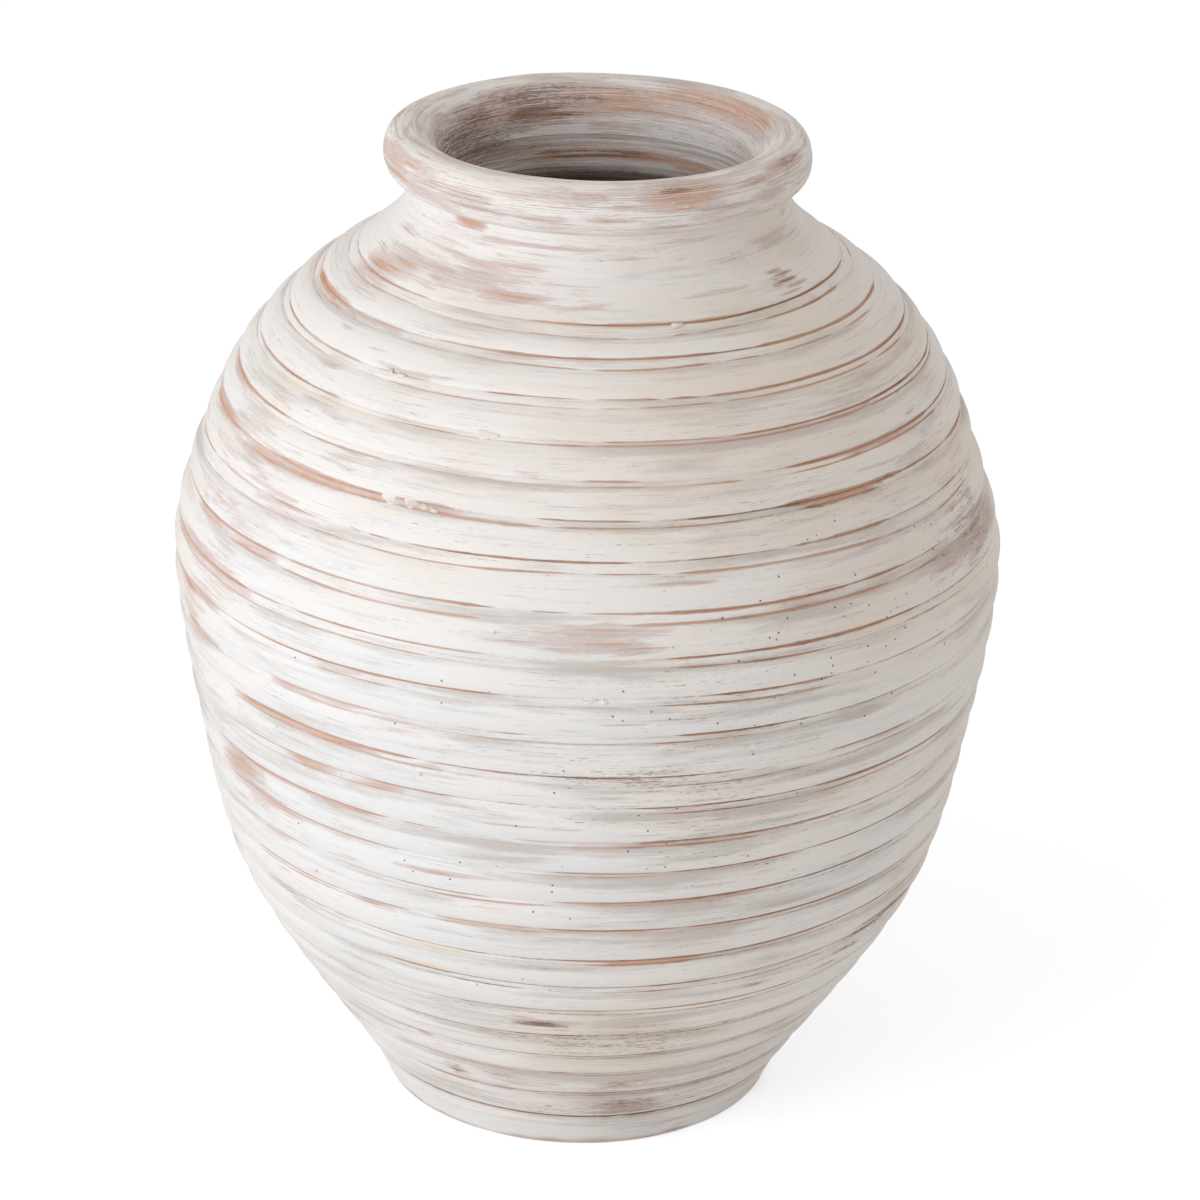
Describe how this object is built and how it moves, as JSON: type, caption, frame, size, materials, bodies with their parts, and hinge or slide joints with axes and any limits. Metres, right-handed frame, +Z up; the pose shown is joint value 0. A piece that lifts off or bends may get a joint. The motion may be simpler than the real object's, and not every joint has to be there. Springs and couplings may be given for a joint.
{
  "type": "planter jar",
  "caption": "Tall round-bellied terracotta planter jar with a whitewashed, banded wall, narrow foot, open neck with a rolled rim, and a drain hole with a lift-out rubber plug.",
  "frame": {"origin": "centre of the foot, on the level of the face that the jar stands on", "axes": "+Z up along the jar's axis of turning, from the foot to the mouth; the jar is round, so X and Y are any two square directions"},
  "size_m": [0.4088, 0.4088, 0.5],
  "materials": {
    "whitewashed_clay": "matte whitewash brushed over terracotta, worn through along the grooves",
    "bare_clay": "matte unglazed terracotta",
    "plug_rubber": "matte black rubber"
  },
  "bodies": {
    "jar": {"foot_ring": "whitewashed_clay", "base_slab": "bare_clay", "lower_wall": "whitewashed_clay", "belly_wall": "whitewashed_clay", "shoulder_wall": "whitewashed_clay", "neck_collar": "whitewashed_clay", "rolled_rim": "whitewashed_clay"},
    "plug": {"drain_plug": "plug_rubber"}
  },
  "joints": [
    {"name": "plug_lift", "type": "slide", "parent": "jar", "child": "plug", "axis": [0, 0, 1], "range_m": [0, 0.025]}
  ]
}
